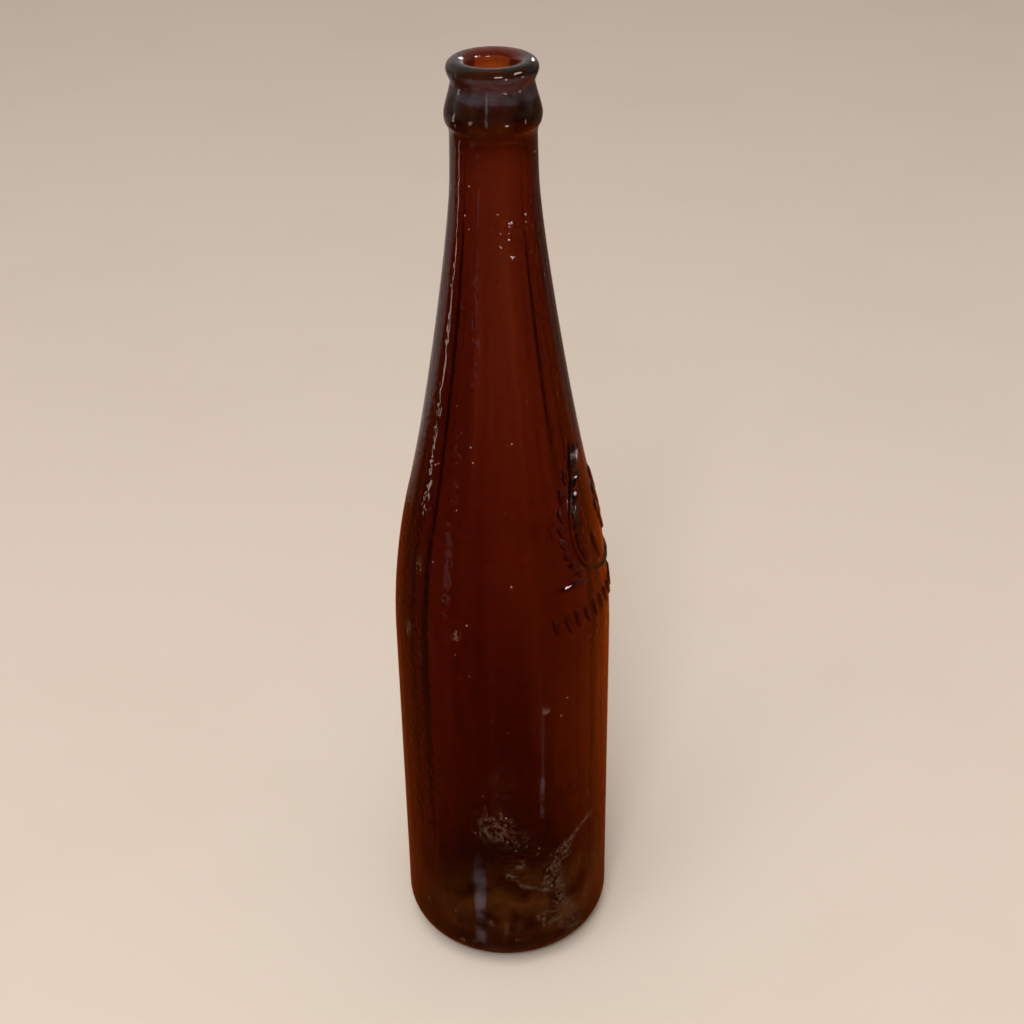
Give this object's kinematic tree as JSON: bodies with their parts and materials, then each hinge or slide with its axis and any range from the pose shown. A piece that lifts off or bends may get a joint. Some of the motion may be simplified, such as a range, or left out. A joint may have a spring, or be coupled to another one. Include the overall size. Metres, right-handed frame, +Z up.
{
  "type": "beer bottle",
  "caption": "Tall long-neck beer bottle of dark red-brown glass, open crown mouth with a flared skirt, raised barley wreath on one shoulder, hollow and empty.",
  "frame": {"origin": "centre of the ring the bottle stands on, on the floor plane", "axes": "+Z up the bottle's axis towards the mouth, +X towards the middle of the raised wreath"},
  "size_m": [0.0728, 0.0724, 0.32],
  "materials": {
    "bottle_glass": "dark red-brown bottle glass, glossy, with dust and a few dried marks"
  },
  "bodies": {
    "root": {"bottle": "bottle_glass"}
  },
  "joints": []
}
